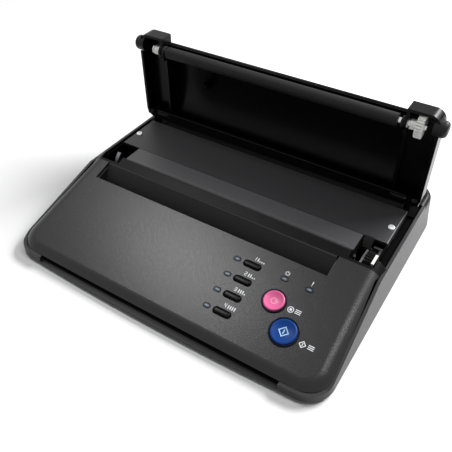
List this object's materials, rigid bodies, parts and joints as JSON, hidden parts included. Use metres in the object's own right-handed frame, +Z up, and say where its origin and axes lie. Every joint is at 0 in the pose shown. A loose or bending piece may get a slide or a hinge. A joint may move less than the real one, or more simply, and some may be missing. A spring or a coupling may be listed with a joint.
{
  "type": "thermal stencil copier",
  "caption": "Desktop thermal stencil copier with a sloping control panel, a document recess, a stencil plate and a hinged lid that carries a rubber platen roller, standing open.",
  "frame": {"origin": "on the floor under the middle of the machine's outline", "axes": "+X to the operator's right along the lid hinge, +Y to the rear, +Z up"},
  "size_m": [0.283, 0.23, 0.124],
  "materials": {
    "casing": "moulded ABS, fine texture",
    "panel": "moulded ABS, fine texture",
    "frame": "black ABS, satin",
    "plate": "dark grey powder coat on steel sheet",
    "head_trim": "grey painted steel, satin",
    "glaze": "glazed heater line, glossy",
    "ceramic": "alumina ceramic, matt",
    "sink": "extruded aluminium",
    "steel": "zinc-plated steel",
    "bracket": "grey painted steel",
    "sensor": "sensor bar with glass face",
    "rubber": "dark rubber, dull",
    "nylon": "natural white nylon",
    "board": "glass-epoxy circuit board",
    "chips": "moulded electronic parts",
    "switches": "key switches",
    "socket": "black nylon",
    "brass": "plated brass pins",
    "rocker": "black gloss rocker",
    "lens": "pale blue lamp window",
    "keys": "black gloss key",
    "stop_pink": "translucent pink cap",
    "copy_blue": "glossy blue cap",
    "ring": "dark ring",
    "lid": "glossy black ABS",
    "knob": "black ABS, matt"
  },
  "bodies": {
    "base": {"lower_casing": "casing", "top_cover": "panel", "rear_cover": "panel", "mid_frame": "frame", "stencil_plate": "plate", "plate_screws": "steel", "head_cover": "head_trim", "heater_line": "glaze", "thermal_head": "ceramic", "head_heatsink": "sink", "head_springs": "steel", "head_frame": "steel", "well_liner_left": "frame", "well_collar_right": "frame", "latch_lever_left": "steel", "latch_bracket_right": "bracket", "latch_tongue_right": "nylon", "document_chute": "frame", "image_sensor": "sensor", "feed_bearing": "nylon", "gear_plate": "steel", "stepper_motor": "steel", "main_board": "board", "supply_board": "board", "board_parts": "chips", "control_board": "board", "tact_switches": "switches", "mains_inlet": "socket", "inlet_pins": "brass", "rocker_housing": "socket", "rubber_feet": "rubber", "base_screws": "steel", "option_lenses": "lens", "status_lenses": "lens", "button_bezels": "ring", "hinge_brackets": "knob", "hinge_pins": "steel"},
    "lid": {"lid_shell": "lid", "platen_bushes": "nylon"},
    "platen": {"platen_shaft": "steel", "platen_sleeve": "rubber", "platen_gear": "nylon"},
    "release_left": {"release_button_left": "knob"},
    "release_right": {"release_button_right": "knob"},
    "pinion": {"motor_pinion": "brass"},
    "idler_head": {"idler_gear_head": "nylon"},
    "drive": {"drive_gear": "nylon"},
    "idler_feed": {"idler_gear_feed": "nylon"},
    "feed": {"feed_shaft": "steel", "feed_rings": "rubber", "feed_gear": "nylon"},
    "option_1": {"option_button_1": "keys"},
    "option_2": {"option_button_2": "keys"},
    "option_3": {"option_button_3": "keys"},
    "option_4": {"option_button_4": "keys"},
    "stop": {"stop_button": "stop_pink"},
    "copy": {"copy_button": "copy_blue"},
    "rocker": {"power_rocker": "rocker"}
  },
  "joints": [
    {"name": "lid_hinge", "type": "hinge", "parent": "base", "child": "lid", "pos_m": [0, 0.07, 0.0451], "axis": [1, 0, 0], "range_deg": [0, 90]},
    {"name": "platen_spin", "type": "hinge", "parent": "lid", "child": "platen", "pos_m": [0, 0.068, 0.1121], "axis": [1, 0, 0], "continuous": true},
    {"name": "release_left_press", "type": "slide", "parent": "lid", "child": "release_left", "axis": [1, 0, 0], "range_m": [0, 0.002], "stiffness_N_per_m": 600},
    {"name": "release_right_press", "type": "slide", "parent": "lid", "child": "release_right", "axis": [-1, 0, 0], "range_m": [0, 0.002], "stiffness_N_per_m": 600},
    {"name": "feed_spin", "type": "hinge", "parent": "base", "child": "feed", "pos_m": [0.1215, -0.023, 0.0135], "axis": [1, 0, 0], "continuous": true},
    {"name": "pinion_spin", "type": "hinge", "parent": "base", "child": "pinion", "pos_m": [0.1215, 0.038, 0.02], "axis": [1, 0, 0], "continuous": true},
    {"name": "idler_head_spin", "type": "hinge", "parent": "base", "child": "idler_head", "pos_m": [0.1215, 0.02496, 0.02223], "axis": [1, 0, 0], "continuous": true},
    {"name": "drive_spin", "type": "hinge", "parent": "base", "child": "drive", "pos_m": [0.1215, 0.007, 0.0253], "axis": [1, 0, 0], "continuous": true},
    {"name": "idler_feed_spin", "type": "hinge", "parent": "base", "child": "idler_feed", "pos_m": [0.1215, -0.00893, 0.01903], "axis": [1, 0, 0], "continuous": true},
    {"name": "option_1_press", "type": "slide", "parent": "base", "child": "option_1", "axis": [0, 0.2607, -0.9654], "range_m": [0, 0.0008], "stiffness_N_per_m": 400},
    {"name": "option_2_press", "type": "slide", "parent": "base", "child": "option_2", "axis": [0, 0.2607, -0.9654], "range_m": [0, 0.0008], "stiffness_N_per_m": 400},
    {"name": "option_3_press", "type": "slide", "parent": "base", "child": "option_3", "axis": [0, 0.2607, -0.9654], "range_m": [0, 0.0008], "stiffness_N_per_m": 400},
    {"name": "option_4_press", "type": "slide", "parent": "base", "child": "option_4", "axis": [0, 0.2607, -0.9654], "range_m": [0, 0.0008], "stiffness_N_per_m": 400},
    {"name": "stop_press", "type": "slide", "parent": "base", "child": "stop", "axis": [0, 0.2607, -0.9654], "range_m": [0, 0.0008], "stiffness_N_per_m": 400},
    {"name": "copy_press", "type": "slide", "parent": "base", "child": "copy", "axis": [0, 0.2607, -0.9654], "range_m": [0, 0.0008], "stiffness_N_per_m": 400},
    {"name": "rocker_tilt", "type": "hinge", "parent": "base", "child": "rocker", "pos_m": [-0.062, 0.1086, 0.017], "axis": [0, 0, 1], "range_deg": [0, 16]}
  ],
  "couplings": [
    {"joint": "idler_feed_spin", "follows": "feed_spin", "ratio": -0.90909},
    {"joint": "drive_spin", "follows": "feed_spin", "ratio": 0.76923},
    {"joint": "idler_head_spin", "follows": "feed_spin", "ratio": -0.76923},
    {"joint": "pinion_spin", "follows": "feed_spin", "ratio": 1.6667}
  ]
}
